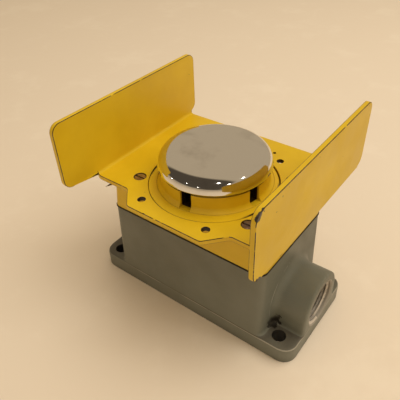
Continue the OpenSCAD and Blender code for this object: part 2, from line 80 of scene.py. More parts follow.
camera_data = bpy.data.cameras.new("camera")
camera_data.lens = 43.4
camera_data.sensor_width = 36
camera = bpy.data.objects.new("camera", camera_data)
bpy.context.scene.collection.objects.link(camera)
aim = view_direction.to_track_quat("-Z", "Y").to_matrix() @ Matrix.Rotation(camera_roll, 3, "Z")
camera.matrix_world = Matrix.Translation(camera_at) @ aim.to_4x4()
bpy.context.scene.camera = camera
bpy.context.scene.view_settings.view_transform = "Standard"
print("camera:", [round(value, 3) for value in camera_at])

# %% [markdown]
# ## Floor and light
# The floor is one pale sheet, large enough to fill every view. The light is warm and
# soft: a large panel high above the far hub side, and six small lamps that only matter
# as glints on the chromed head. Polished metal sees a dim room on the camera's side.

# %% Lay the floor
floor_half = 3.0
bpy.ops.object.select_all(action="DESELECT")
bpy.ops.mesh.primitive_plane_add(size=2 * floor_half, location=(0, 0, 0))
floor = bpy.context.object
floor.name = "studio_floor"
print("floor:", 2 * floor_half, "m square")


# %% Hang the lights
def hang_panel(name, at, target, size, power, tint):
    """A square area light that faces a point."""
    panel_data = bpy.data.lights.new(name, "AREA")
    panel_data.size = size
    panel_data.energy = power
    panel_data.color = tint
    panel = bpy.data.objects.new(name, panel_data)
    bpy.context.scene.collection.objects.link(panel)
    panel.location = at
    panel.rotation_euler = (Vector(target) - Vector(at)).to_track_quat("-Z", "Y").to_euler()
    return panel


light_target = Vector((0, 0, 60)) * mm
warm_white = (1.0, 0.93, 0.82)
key_panel = hang_panel("key_panel", (0.36, 0.34, 1.15), light_target, 0.95, 8.8, warm_white)
key_panel.visible_glossy = False
lamps_at = [(0.56, -0.57, 1.14), (0.95, -0.46, 0.89), (0.87, 0.23, 1.06),
            (-0.40, -1.17, 0.56), (0.09, -1.28, 0.44), (-0.99, -0.87, 0.18)]
high_lamp, low_lamp = (0.07, 0.30), (0.035, 0.08)  # size and power
for lamp, lamp_at in enumerate(lamps_at):
    size, power = high_lamp if lamp < 3 else low_lamp
    hang_panel(f"lamp_{lamp}", lamp_at, light_target, size, power, warm_white)

# %% Fill the shadows
world = bpy.data.worlds.new("studio_air")
bpy.context.scene.world = world
world.use_nodes = True
air = world.node_tree.nodes["Background"]
air.inputs["Strength"].default_value = 1.0
links = world.node_tree.links


def air_node(kind, **settings):
    """A node of the world's tree."""
    made = world.node_tree.nodes.new(kind)
    for name, value in settings.items():
        setattr(made, name, value)
    return made


look = air_node("ShaderNodeSeparateXYZ")
links.new(air_node("ShaderNodeTexCoord").outputs["Generated"], look.inputs[0])
dim = air_node("ShaderNodeLightPath").outputs["Is Glossy Ray"]
for axis, start, end in (("Y", -0.02, -0.22), ("Z", 0.02, 0.16), ("X", 0.80, 0.66)):
    step = air_node("ShaderNodeMapRange", interpolation_type="SMOOTHSTEP")
    step.inputs["From Min"].default_value, step.inputs["From Max"].default_value = start, end
    links.new(look.outputs[axis], step.inputs["Value"])
    both = air_node("ShaderNodeMath", operation="MULTIPLY")
    links.new(dim, both.inputs[0])
    links.new(step.outputs[0], both.inputs[1])
    dim = both.outputs[0]
bright_air, dim_air = (0.47, 0.37, 0.245, 1), (0.075, 0.058, 0.040, 1)
room = air_node("ShaderNodeMix", data_type="RGBA")
room.inputs[6].default_value = bright_air
room.inputs[7].default_value = dim_air
links.new(dim, room.inputs[0])
links.new(room.outputs[2], air.inputs["Color"])
print("room:", len(world.node_tree.nodes), "nodes")


# %% [markdown]
# ## Tools of the bench
# The pieces are modelled the way they would be by hand: a primitive at its size and
# place, edges bevelled and faces extruded in edit mode, and solids joined to or cut from
# each other. The few helpers below keep each of those steps to one line. Edges and faces
# are picked by where they are, because a number in a list means nothing to a reader.

# %% Select, edit and pick
def only(piece):
    """Makes one piece the selected and active one."""
    bpy.ops.object.select_all(action="DESELECT")
    piece.select_set(True)
    bpy.context.view_layer.objects.active = piece


@contextmanager
def editing(piece):
    """Edit mode on one piece."""
    only(piece)
    bpy.ops.object.mode_set(mode="EDIT")
    yield
    bpy.ops.object.mode_set(mode="OBJECT")


def pick(piece, kind, test):
    """In edit mode, selects the VERT, EDGE or FACE elements that pass a test."""
    bpy.ops.mesh.select_mode(type=kind)
    bpy.ops.mesh.select_all(action="DESELECT")
    mesh = bmesh.from_edit_mesh(piece.data)
    parts = {"VERT": mesh.verts, "EDGE": mesh.edges, "FACE": mesh.faces}[kind]
    for part in parts:
        if test(part):
            part.select_set(True)
    bmesh.update_edit_mesh(piece.data)


def middle(edge):
    """The point halfway along an edge."""
    return (edge.verts[0].co + edge.verts[1].co) / 2


def faces_up(face):
    """Whether a face looks up."""
    return face.normal.z > 0.9


def runs_along(edge, axis):
    """Whether an edge runs along X, Y or Z, given as 0, 1 or 2."""
    way = (edge.verts[1].co - edge.verts[0].co).normalized()
    return abs(way[axis]) > 0.98


def round_edges(piece, test, radius, segments=8):
    """In edit mode, rounds the edges that pass a test."""
    pick(piece, "EDGE", test)
    bpy.ops.mesh.bevel(offset_type="OFFSET", offset=radius, segments=segments, affect="EDGES")


def push_faces(piece, test, move=(0, 0, 0), grow=(1, 1, 1), about=(0, 0, 0)):
    """In edit mode, extrudes the faces that pass a test, moves and then scales them."""
    pick(piece, "FACE", test)
    bpy.ops.mesh.extrude_region_move(TRANSFORM_OT_translate={"value": move})
    bpy.ops.transform.resize(value=grow, center_override=about)


# %% Start from a block or a rod
wide = 0.1  # further out than any piece
tall = 0.2  # higher than the whole control


def settle(piece):
    """Applies a piece's place, turn and scale to its mesh."""
    only(piece)
    bpy.ops.object.transform_apply(location=True, rotation=True, scale=True)


def block(name, low, high):
    """A cube primitive that fills the space between two corners."""
    low, high = Vector(low), Vector(high)
    bpy.ops.object.select_all(action="DESELECT")
    bpy.ops.mesh.primitive_cube_add(size=1, location=(low + high) / 2)
    piece = bpy.context.object
    piece.name = name
    piece.scale = high - low
    settle(piece)
    return piece


def round_block(name, low, high, radius, axis=2, segments=8):
    """A block whose four edges along one axis are rounded."""
    piece = block(name, low, high)
    with editing(piece):
        round_edges(piece, lambda edge: runs_along(edge, axis), radius, segments)
    return piece


def rod(name, foot, radius, length, axis=2, sides=64, far_radius=None):
    """A cone primitive from its foot along an axis, or a cylinder if no far radius is given."""
    foot = Vector(foot)
    along = Vector([length if k == axis else 0 for k in range(3)])
    turns = {0: (0, math.pi / 2, 0), 1: (-math.pi / 2, 0, 0), 2: (0, 0, 0)}
    bpy.ops.object.select_all(action="DESELECT")
    bpy.ops.mesh.primitive_cone_add(
        vertices=sides, radius1=radius, radius2=far_radius or radius, depth=length,
        location=foot + along / 2, rotation=turns[axis])
    piece = bpy.context.object
    piece.name = name
    settle(piece)
    return piece


# %% Join, cut and finish
def apply(piece, kind, **settings):
    """Adds a modifier and applies it."""
    only(piece)
    modifier = piece.modifiers.new(kind.lower(), kind)
    for name, value in settings.items():
        setattr(modifier, name, value)
    bpy.ops.object.modifier_apply(modifier=modifier.name)


def combine(piece, *tools, how="DIFFERENCE"):
    """Cuts tools from a piece, or joins them to it, and clears the tools away."""
    for tool in tools:
        apply(piece, "BOOLEAN", object=tool, operation=how, solver="MANIFOLD")
        bpy.data.objects.remove(tool)


def soften(piece, width, segments=2, angle=40):
    """Rounds every sharp edge a little, marks the new narrow faces, and evens the shading."""
    with editing(piece):
        bpy.ops.mesh.select_all(action="SELECT")
        bpy.ops.mesh.remove_doubles(threshold=0.02 * mm)
        bpy.ops.mesh.dissolve_limited(angle_limit=math.radians(0.5))
    piece.data.materials.append(None)
    piece.data.materials.append(None)
    apply(piece, "BEVEL", width=width, segments=segments, limit_method="ANGLE",
          angle_limit=math.radians(angle), material=1, loop_slide=False, use_clamp_overlap=False)
    worn = [float(face.material_index) for face in piece.data.polygons]
    piece.data.attributes.new("worn_edge", "FLOAT", "FACE").data.foreach_set("value", worn)
    for face in piece.data.polygons:
        face.material_index = 0
    piece.data.materials.clear()
    only(piece)
    bpy.ops.object.shade_smooth()
    apply(piece, "WEIGHTED_NORMAL", mode="FACE_AREA", weight=100, keep_sharp=False)


def smooth(piece, angle):
    """Smooth shading, except across edges sharper than an angle in degrees."""
    only(piece)
    bpy.ops.object.shade_smooth_by_angle(angle=math.radians(angle))


def report(piece):
    """Prints how fine a finished piece is."""
    faces = sum(len(face.vertices) - 2 for face in piece.data.polygons)
    print(f"{piece.name}: {faces} triangles")


# %% [markdown]
# ## The cast box
# The box, its feet and its hub are one aluminium casting. Sand leaves it with drafted
# walls, no sharp inner corners and slightly soft edges; then a cutter faces the bottom
# and the gasket rim, and drills the holes. The same order is followed here: blocks and a
# rod are joined, a voxel remesh and a smoothing pass melt them into one soft skin, and
# only then do the flat cuts and the bores come, so that those stay crisp.

# %% Sizes of the cast box
foot_low, foot_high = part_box("base_box")
gasket_low, gasket_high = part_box("cover_gasket")
gasket_bulge = 0.3 * mm
rim_x = gasket_high.x - gasket_bulge
rim_y = gasket_high.y - gasket_bulge
rim_z = gasket_low.z
draft = foot_high.y - rim_y
slope = draft / rim_z
spare = 2 * mm
corner_radius = 4.5 * mm
foot_thickness = 10.4 * mm
foot_corner = 8 * mm
hub_radius = 18.7 * mm
hub_height = 21.1 * mm
hub_cove = 4.5 * mm
skin_size = 0.9 * mm
print("box rim:", round(rim_x / mm, 1), "x", round(rim_y / mm, 1), "mm from the centre")

# %% Model the body and the feet
low_x = rim_x + slope * (rim_z + spare)
low_y = rim_y + slope * (rim_z + spare)
cast_box = block("cast_box", (-low_x, -low_y, -spare), (low_x, low_y, rim_z + spare))
with editing(cast_box):
    pick(cast_box, "FACE", faces_up)
    top_scale = ((rim_x - slope * spare) / low_x, (rim_y - slope * spare) / low_y, 1)
    bpy.ops.transform.resize(value=top_scale, center_override=(0, 0, 0))
    round_edges(cast_box, lambda edge: runs_along(edge, 2), corner_radius)

flange = round_block("flange", (foot_low.x, foot_low.y, -spare),
                     (foot_high.x, foot_high.y, foot_thickness), foot_corner)
combine(cast_box, flange, how="UNION")
report(cast_box)


# %% Model the hub with its cove
def cove_steps(radius, cove, count=6):
    """Size of a boss as it flares through a quarter-round cove, and how far each step goes."""
    for step in range(1, count + 1):
        turn = math.pi / 2 * step / count
        last = math.pi / 2 * (step - 1) / count
        yield radius + cove - cove * math.cos(turn), cove * (math.sin(turn) - math.sin(last))


def faces_wall(face):
    """Whether a face of the hub looks at the box's wall."""
    return face.normal.x < -0.9


hub_overlap = 5 * mm
wall_x = rim_x + 0.4 * mm
hub_start = wall_x + hub_cove
hub_round = rod("hub", (hub_start, 0, hub_height), hub_radius, foot_high.x - hub_start, axis=0)
hub_skirt = block("hub_skirt", (hub_start, -hub_radius, -spare),
                  (foot_high.x, hub_radius, hub_height))
for boss in (hub_round, hub_skirt):
    size_before = hub_radius
    with editing(boss):
        for size, step in cove_steps(hub_radius, hub_cove):
            grow = size / size_before
            push_faces(boss, faces_wall, move=(-step, 0, 0),
                       grow=(1, grow, grow if boss == hub_round else 1), about=(0, 0, hub_height))
            size_before = size
        push_faces(boss, faces_wall, move=(-hub_overlap, 0, 0))
below_floor = block("below", (-wide, -wide, -wide / 2), (wide, wide, -spare))
combine(hub_round, below_floor)
combine(hub_round, hub_skirt, how="UNION")
combine(cast_box, hub_round, how="UNION")
report(cast_box)

# %% Melt the joints into one cast skin
apply(cast_box, "REMESH", mode="VOXEL", voxel_size=skin_size)
apply(cast_box, "SMOOTH", factor=0.5, iterations=7)
report(cast_box)

# %% Face the bottom and the rim, and open the chamber
wall = 4.4 * mm
floor_thickness = 5 * mm
inner_corner = 3 * mm
screw_at = Vector((36.2, 22.8)) * mm
screw_boss = 5.5 * mm
boss_depth = 24 * mm
bracket_x = 30 * mm
ground_at = Vector((-41, 14)) * mm
corners = [(sx, sy) for sx in (-1, 1) for sy in (-1, 1)]


def at_screws(piece, name, radius, foot_z=0, length=tall, sides=64):
    """Cuts an upright rod from a piece at each cover screw."""
    for sx, sy in corners:
        tool = rod(name, (sx * screw_at.x, sy * screw_at.y, foot_z), radius, length, sides=sides)
        combine(piece, tool)


faced = block("faced", (-wide, -wide, 0), (wide, wide, rim_z))
combine(cast_box, faced, how="INTERSECT")

chamber = round_block("chamber", (wall - rim_x, wall - rim_y, floor_thickness),
                      (rim_x - wall, rim_y - wall, rim_z + 1 * mm), inner_corner)
at_screws(chamber, "boss", screw_boss, rim_z - boss_depth, 0.05)
for sx in (-1, 1):
    combine(chamber, rod("pad", (sx * bracket_x, 0, 0), 5 * mm, 10 * mm))
combine(chamber, rod("ground_pad", (*ground_at, 0), 4 * mm, 9 * mm))
combine(cast_box, chamber)
report(cast_box)

# %% Drill the screw holes, the foot holes and the conduit bore
thread_radius = 13.3 * mm
thread_length = 16.2 * mm
foot_hole_at = Vector((60.3, 25.4)) * mm
foot_hole_radius = 3.8 * mm
tapped_radius = 2.1 * mm
tapped_depth = 20 * mm
lead_width = 1.6 * mm
throat_radius = 10.5 * mm
for sx, sy in corners:
    tapped_foot = (sx * screw_at.x, sy * screw_at.y, rim_z - tapped_depth)
    combine(cast_box, rod("tapped", tapped_foot, tapped_radius, 0.03, sides=32))
    hole = Vector((sx * foot_hole_at.x, sy * foot_hole_at.y, 0))
    through = rod("through", hole - Vector((0, 0, spare)), foot_hole_radius, 20 * mm, sides=48)
    combine(cast_box, through)
    flare = rod("flare", hole + Vector((0, 0, foot_thickness - 0.7 * mm)), 3.6 * mm, 1.6 * mm,
                sides=48, far_radius=4.5 * mm)
    combine(cast_box, flare)
for sx in (-1, 1):
    combine(cast_box, rod("bracket_hole", (sx * bracket_x, 0, 6 * mm), 1.8 * mm, 10 * mm, sides=32))
combine(cast_box, rod("ground_hole", (*ground_at, 5.5 * mm), 1.6 * mm, 10 * mm, sides=32))
bore_start = foot_high.x - 0.8 * mm - thread_length
combine(cast_box, rod("throat", (0, 0, hub_height), throat_radius, 70 * mm, axis=0))
combine(cast_box, rod("bore", (bore_start, 0, hub_height), thread_radius, 0.03, axis=0, sides=96))
combine(cast_box, rod("lead_in", (foot_high.x - 0.9 * mm, 0, hub_height), thread_radius - 0.1 * mm,
                      2 * mm, axis=0, sides=96, far_radius=thread_radius + lead_width))
smooth(cast_box, 38)
apply(cast_box, "WEIGHTED_NORMAL", mode="FACE_AREA", weight=50, keep_sharp=True)
report(cast_box)

# %% [markdown]
# ## The conduit thread
# A cutter leaves a spiral of bare metal ridges inside the hub. A ridge is one triangle
# swept along a helix, so the Screw modifier does it: the triangle's point faces the
# axis, and the rise in each turn is the thread's pitch, fourteen to the inch.

# %% Cut the conduit thread
def sweep(section, rise, turns, per_turn):
    """Sweeps a section along a helix around Z, and closes its two ends."""
    apply(section, "SCREW", angle=2 * math.pi, screw_offset=rise, steps=per_turn,
          render_steps=per_turn, iterations=turns, use_merge_vertices=False)
    with editing(section):
        bpy.ops.mesh.select_mode(type="EDGE")
        bpy.ops.mesh.select_all(action="DESELECT")
        bpy.ops.mesh.select_non_manifold(extend=False)
        bpy.ops.mesh.fill_holes(sides=0)
        bpy.ops.mesh.select_all(action="SELECT")
        bpy.ops.mesh.normals_make_consistent(inside=False)


pitch = 25.4 * mm / 14
ridge_height = 1.3 * mm
ridge_turns = int((thread_length - 1.0 * mm) / pitch)
bpy.ops.object.select_all(action="DESELECT")
bpy.ops.mesh.primitive_circle_add(vertices=3, radius=ridge_height / 1.5, fill_type="NOTHING",
                                  location=(0, 0, 0))
conduit_thread = bpy.context.object
conduit_thread.name = "conduit_thread"
# The circle lies flat with one corner towards +Y; it is stood up so that corner faces the axis.
for turn in ((0, 0, math.pi / 2), (math.pi / 2, 0, 0)):
    conduit_thread.rotation_euler = turn
    settle(conduit_thread)
with editing(conduit_thread):
    bpy.ops.mesh.select_all(action="SELECT")
    bpy.ops.transform.translate(value=(thread_radius + 0.08 * mm - ridge_height / 3, 0, 0))
    bpy.ops.transform.resize(value=(1, 1, 1.06), center_override=(0, 0, 0))
sweep(conduit_thread, pitch, ridge_turns, 64)
conduit_thread.rotation_euler = (0, math.pi / 2, 0)
conduit_thread.location = (bore_start + 1.2 * mm, 0, hub_height)
settle(conduit_thread)
smooth(conduit_thread, 30)
report(conduit_thread)

# %% [markdown]
# ## The gasket
# A flat ring of black sheet between box and cover. Squeezed between them, it bulges a
# little past the castings, so its rim is rounded and stands just proud.

# %% Cut the gasket
gasket = round_block("gasket_sheet", gasket_low, gasket_high, corner_radius)
opening = round_block("opening", (wall - rim_x, wall - rim_y, 0),
                      (rim_x - wall, rim_y - wall, wide), inner_corner)
at_screws(opening, "boss", screw_boss)
combine(gasket, opening)
screw_clearance = 2.15 * mm
at_screws(gasket, "hole", screw_clearance, sides=32)
soften(gasket, 0.3 * mm, segments=3)
report(gasket)

# %% [markdown]
# ## The cover
# The cover is a second casting: a shallow lid with a small step under its flat top, a
# round platform that stands flush inside the guard's opening, and the slotted collar
# that keeps fingers and dirt from under the head. The platform and the collar are
# turned shapes, so each starts as a rod and grows by extrusion.

# %% Sizes of the cover
cover_low, cover_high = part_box("cover")
lid_top = 75.3 * mm
lip_height = 71.2 * mm
lip_inset = 0.45 * mm
lid_draft = 0.8 * mm
platform_centre = Vector((0.2, -2.0)) * mm
platform_radius = 36.2 * mm
platform_low = 70.5 * mm
platform_high = 77.9 * mm
collar_radius = 29.6 * mm
collar_wall = 3.2 * mm
collar_cove = 3.2 * mm
slot_count = 5
slot_width = 6.5 * mm
slot_first = math.radians(-84.5)
cover_wall = wall + 1 * mm
bearing_boss = 12 * mm
bushing_bore = 8 * mm
print("collar:", round(collar_radius / mm, 1), "mm radius with", slot_count, "slots")

# %% Model the lid
lid = block("cover_casting", (-rim_x, -rim_y, cover_low.z), (rim_x, rim_y, lip_height))
with editing(lid):
    pick(lid, "FACE", faces_up)
    bpy.ops.transform.resize(value=(1 - lid_draft / rim_x, 1 - lid_draft / rim_y, 1),
                             center_override=(0, 0, 0))
    push_faces(lid, faces_up, grow=(1 - lip_inset / rim_x, 1 - lip_inset / rim_y, 1))
    push_faces(lid, lambda face: faces_up(face) and abs(face.calc_center_median().x) < 1 * mm,
               move=(0, 0, lid_top - lip_height), grow=(0.995, 0.993, 1))
    round_edges(lid, lambda edge: abs(edge.verts[0].co.z - edge.verts[1].co.z) > 2 * mm, corner_radius)
report(lid)

# %% Model the platform and the collar
platform = rod("platform", (*platform_centre, platform_low), platform_radius,
               platform_high - platform_low, sides=128)
with editing(platform):
    round_edges(platform, lambda edge: middle(edge).z < platform_low + 0.1 * mm, 1 * mm, 3)
collar = rod("collar", (0, 0, platform_low + 1 * mm), collar_radius + collar_cove,
             platform_high - platform_low - 1 * mm, sides=128)
with editing(collar):
    size_before = collar_radius + collar_cove
    for size, step in reversed(list(cove_steps(collar_radius, collar_cove))):
        push_faces(collar, faces_up, move=(0, 0, step),
                   grow=(size / size_before, size / size_before, 1))
        size_before = size
    push_faces(collar, faces_up,
               grow=(collar_radius / size_before, collar_radius / size_before, 1))
    pick(collar, "FACE", faces_up)
    reach = cover_high.z - platform_high - collar_cove
    bpy.ops.mesh.extrude_region_move(TRANSFORM_OT_translate={"value": (0, 0, reach)})
combine(platform, collar, how="UNION")
combine(lid, platform, how="UNION")
report(lid)

# %% Hollow the lid and cut the collar's slots
cavity = round_block("cavity", (cover_wall - rim_x, cover_wall - rim_y, 0),
                     (rim_x - cover_wall, rim_y - cover_wall, lip_height + 0.1 * mm), inner_corner)
at_screws(cavity, "boss", screw_boss)
combine(cavity, rod("centre_boss", (0, 0, 63.5 * mm), bearing_boss, 0.1))
combine(lid, cavity)
centre_well = rod("centre_well", (0, 0, lid_top), collar_radius - collar_wall, 0.03, sides=128)
combine(centre_well, rod("centre_boss", (0, 0, 0.06), bearing_boss, 77.5 * mm - 0.06))
combine(lid, centre_well, rod("bushing_hole", (0, 0, 0.03), bushing_bore, 0.1))
for slot in range(slot_count):
    turn = slot_first + 2 * math.pi * slot / slot_count
    cutter = block("slot", (collar_radius - 2 * collar_wall, -slot_width / 2, platform_high + 0.1 * mm),
                   (collar_radius + 8 * mm, slot_width / 2, wide))
    cutter.rotation_euler = (0, 0, turn)
    settle(cutter)
    combine(lid, cutter)
at_screws(lid, "hole", screw_clearance, sides=32)
soften(lid, 0.3 * mm, segments=3, angle=50)
report(lid)

# %% [markdown]
# ## The guard
# One piece of sheet steel, blanked and bent up into two wings. Bending keeps the
# thickness even, so the channel is made first: a block with rounded lower edges, less a
# smaller one. The blank's outline then trims it, as a punch would: the neck and tab in
# plan, and each wing's rounded rectangle from the side.

# %% Sizes of the guard
guard_low, guard_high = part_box("guard_plate")
sheet = 2.7 * mm
bend_inside = 2 * mm
flat_z = guard_low.z
neck_front = -35.4 * mm
neck_back = 53.1 * mm
neck_corner = 7 * mm
tab_base_x = 34.2 * mm
tab_x = 24 * mm
tab_front = -46.7 * mm
tab_round = 1.26 * mm
wing_low = 79.7 * mm
wing_corner = 5.5 * mm
opening_at = Vector((0.2, -1.5)) * mm
opening_radius = 36.8 * mm
accessory_holes = [(opening_at.x + sx * 21.2 * mm, opening_at.y + sy * 36.65 * mm)
                   for sx, sy in corners]
accessory_radius = 2.05 * mm
pin_at = Vector((14.2, 41)) * mm
print("wings:", round((guard_high.z - wing_low) / mm, 1), "mm high")

# %% Bend the channel
channel = block("guard_sheet", guard_low, guard_high)
with editing(channel):
    round_edges(channel, lambda edge: runs_along(edge, 1) and middle(edge).z < flat_z + 1 * mm,
                bend_inside + sheet, 10)
inside = block("inside", (guard_low.x + sheet, -wide, flat_z + sheet),
               (guard_high.x - sheet, wide, tall))
with editing(inside):
    round_edges(inside, lambda edge: runs_along(edge, 1) and middle(edge).z < 0.1, bend_inside, 8)
combine(channel, inside)
report(channel)

# %% Outline the neck, the tab and the wings
blank = block("blank", (guard_low.x - 1 * mm, neck_front, 0.07),
              (guard_high.x + 1 * mm, neck_back, flat_z + sheet + bend_inside))
with editing(blank):
    for plane_x in (-tab_base_x, tab_base_x):
        bpy.ops.mesh.select_all(action="SELECT")
        bpy.ops.mesh.bisect(plane_co=(plane_x, 0, 0), plane_no=(1, 0, 0))
    push_faces(blank, lambda face: face.normal.y < -0.9 and abs(face.calc_center_median().x) < 1 * mm,
               move=(0, tab_front - neck_front, 0), grow=(tab_x / tab_base_x, 1, 1))

    def upright_front(edge):
        """Whether an edge is upright and on the front of the neck or the tab."""
        return runs_along(edge, 2) and middle(edge).y < neck_front + 1 * mm

    round_edges(blank, lambda edge: upright_front(edge)
                and abs(middle(edge).x) < tab_base_x + 1 * mm, tab_round, 6)
    round_edges(blank, lambda edge: upright_front(edge)
                and abs(middle(edge).x) > tab_base_x + 5 * mm, neck_corner, 8)
for side in (-1, 1):
    outer = side * (guard_high.x + 1 * mm)
    inner = side * (guard_high.x - sheet - 0.01 * mm)
    wing = round_block("wing", (min(inner, outer), guard_low.y, wing_low),
                       (max(inner, outer), guard_high.y, guard_high.z), wing_corner,
                       axis=0, segments=12)
    combine(blank, wing, how="UNION")
combine(channel, blank, how="INTERSECT")
report(channel)

# %% Punch and countersink the guard
combine(channel, rod("punch", (*opening_at, 0), opening_radius, tall, sides=128))
for (sx, sy), accessory in zip(corners, accessory_holes):
    combine(channel, rod("accessory", (*accessory, 0), accessory_radius, tall, sides=40))
    screw_foot = Vector((sx * screw_at.x, sy * screw_at.y, 0))
    combine(channel, rod("clearance", screw_foot, 2.4 * mm, tall, sides=40))
    sink_foot = screw_foot + Vector((0, 0, flat_z + 0.5 * mm))
    combine(channel, rod("sink", sink_foot, 2.3 * mm, sheet, sides=48, far_radius=4.1 * mm))
combine(channel, rod("pin", (*pin_at, 0), 0.8 * mm, tall, sides=24))
soften(channel, 0.3 * mm)
report(channel)

# %% [markdown]
# ## The cover screws
# Four slotted countersunk screws hold guard, cover and gasket to the box. One is
# modelled and three are copies, each with its own mesh: a rod for the shank, its upper
# end flared into the cone and head, and a saw cut for the slot.

# %% Turn one screw and copy it
screw_low, screw_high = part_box("cover_screws")
head_radius = 3.3 * mm
shank_radius = 2.05 * mm
cone_height = 1.5 * mm
head_edge = 0.4 * mm
first = rod("screw", (-screw_at.x, -screw_at.y, screw_low.z), shank_radius,
            screw_high.z - screw_low.z - cone_height - head_edge, sides=40)
flared = head_radius / shank_radius
centre = (-screw_at.x, -screw_at.y, 0)
with editing(first):
    push_faces(first, faces_up, move=(0, 0, cone_height), grow=(flared, flared, 1), about=centre)
    push_faces(first, faces_up, move=(0, 0, head_edge))
    round_edges(first, lambda edge: middle(edge).z < screw_low.z + 0.1 * mm, 0.6 * mm, 2)
saw_half = 0.5 * mm
saw_depth = 0.9 * mm
combine(first, block("slot", (-screw_at.x - 5 * mm, -screw_at.y - saw_half, screw_high.z - saw_depth),
                     (-screw_at.x + 5 * mm, -screw_at.y + saw_half, screw_high.z + 1 * mm)))
soften(first, 0.2 * mm)
screws = [first]
for sx, sy in corners[1:]:
    copy = first.copy()
    copy.data = first.data.copy()
    bpy.context.scene.collection.objects.link(copy)
    copy.location = (sx * screw_at.x + screw_at.x, sy * screw_at.y + screw_at.y, 0)
    screws.append(copy)
bpy.ops.object.select_all(action="DESELECT")
for screw in screws:
    screw.select_set(True)
bpy.context.view_layer.objects.active = first
bpy.ops.object.transform_apply(location=True, rotation=True, scale=True)
bpy.ops.object.join()
first.name = "cover_screw_set"
report(first)

# %% [markdown]
# ## The head
# The head is drawn from sheet, polished and chromed. It is turned from a rod: the
# shoulder is rounded with a fine bevel, the top is crowned by a few insets that rise
# towards the middle, and the underside is extruded up into a thin skirt.

# %% Draw the mushroom head
head_low, head_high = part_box("mushroom_cap")
head_outer = head_high.x
shoulder = 8 * mm
lean = math.radians(10)
crown = 0.5 * mm
skirt = 1 * mm
roof_thickness = 1.2 * mm
head_height = head_high.z - crown - head_low.z
edge_radius = head_outer - head_height * math.tan(lean)
shoulder_run = shoulder * math.tan((math.pi / 2 - lean) / 2)
inner_run = (shoulder - skirt) * math.tan((math.pi / 2 - lean) / 2)
head = rod("chrome_head", (0, 0, head_low.z), head_outer, head_height, sides=160,
           far_radius=edge_radius)
with editing(head):
    round_edges(head, lambda edge: middle(edge).z > head_high.z - crown - 0.1 * mm, shoulder_run, 16)
    crown_rings = 8
    for ring in range(crown_rings):
        inner, outer = 1 - (ring + 1) / (crown_rings + 1), 1 - ring / (crown_rings + 1)
        rise = crown * (outer ** 2 - inner ** 2)
        push_faces(head, lambda face: face.normal.z > 0.99 and len(face.verts) > 100,
                   move=(0, 0, rise), grow=(inner / outer, inner / outer, 1))
    hollow = (head_outer - skirt) / head_outer
    inner_height = head_height - roof_thickness
    inner_edge = head_outer - skirt - inner_height * math.tan(lean)
    push_faces(head, lambda face: face.normal.z < -0.99, grow=(hollow, hollow, 1))
    inner_grow = inner_edge / (head_outer - skirt)
    push_faces(head, lambda face: face.normal.z < -0.99 and len(face.verts) > 100,
               move=(0, 0, inner_height), grow=(inner_grow, inner_grow, 1))
    round_edges(head, lambda edge: abs(middle(edge).z - head_low.z - inner_height) < 0.01 * mm
                and abs(math.hypot(*middle(edge).xy) - inner_edge) < 0.1 * mm, inner_run, 12)
    round_edges(head, lambda edge: max(point.co.z for point in edge.verts) < head_low.z + 0.01 * mm
                and math.hypot(*middle(edge).xy) > head_outer - 0.5 * mm, 0.5 * mm, 4)
smooth(head, 30)
report(head)

# %% [markdown]
# ## The springs
# Two coils push back when the head is pressed. Each is one round section swept along a
# helix by the Screw modifier, with its ends closed.


# %% Wind the two springs
def wind(name, node, mean_radius, wire, turns, per_turn, sides):
    """A coil spring that fills the height of a CAD node."""
    low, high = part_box(node)
    rise = high.z - low.z - 2 * wire
    bpy.ops.object.select_all(action="DESELECT")
    bpy.ops.mesh.primitive_circle_add(
        vertices=sides, radius=wire, fill_type="NOTHING",
        location=(mean_radius, 0, low.z + wire), rotation=(math.pi / 2, 0, 0))
    coil = bpy.context.object
    coil.name = name
    settle(coil)
    sweep(coil, rise / turns, turns, per_turn)
    smooth(coil, 40)
    report(coil)
    return coil


head_spring = wind("head_spring", "return_spring", mean_radius=15 * mm, wire=0.8 * mm,
                   turns=6, per_turn=40, sides=12)
contact_spring = wind("contact_spring", "carrier_spring", mean_radius=3 * mm, wire=0.35 * mm,
                      turns=6, per_turn=24, sides=8)


# %% [markdown]
# ## Finishes: helpers
# A finish is a node tree. The helpers add one node each and take either a plain value
# or another node's output, so a finish reads as a short recipe. Patterns use Object
# coordinates, which are metres here, so a noise scale of 1000 has a grain of 1 mm.

# %% Node helpers
def finish_named(name):
    """A new material, its tree, its main shader and its Object coordinates."""
    material = bpy.data.materials.new(name)
    material.use_nodes = True
    tree = material.node_tree
    place = tree.nodes.new("ShaderNodeTexCoord").outputs["Object"]
    return material, tree, tree.nodes["Principled BSDF"], place


def add(tree, kind, inputs, **settings):
    """A node with its settings, each input a value or another node's output."""
    made = tree.nodes.new(kind)
    for name, value in settings.items():
        setattr(made, name, value)
    for key, value in inputs.items():
        if isinstance(value, bpy.types.NodeSocket):
            tree.links.new(value, made.inputs[key])
        else:
            made.inputs[key].default_value = value
    return made


def noise(tree, place, scale, detail=3.0, roughness=0.55, stretch=(1, 1, 1)):
    """Cloudy noise from 0 to 1."""
    mapped = add(tree, "ShaderNodeMapping", {"Vector": place, "Scale": stretch})
    inputs = {"Vector": mapped.outputs[0], "Scale": scale, "Detail": detail, "Roughness": roughness}
    return add(tree, "ShaderNodeTexNoise", inputs).outputs["Fac"]


def between(tree, value, low, high, to_low=0.0, to_high=1.0):
    """A value's rise from low to high, as a smooth step."""
    inputs = {"Value": value, "From Min": low, "From Max": high, "To Min": to_low, "To Max": to_high}
    return add(tree, "ShaderNodeMapRange", inputs, interpolation_type="SMOOTHSTEP").outputs[0]


def maths(tree, operation, first, second):
    """One sum on two values, kept between 0 and 1."""
    sums = {0: first, 1: second}
    return add(tree, "ShaderNodeMath", sums, operation=operation, use_clamp=True).outputs[0]


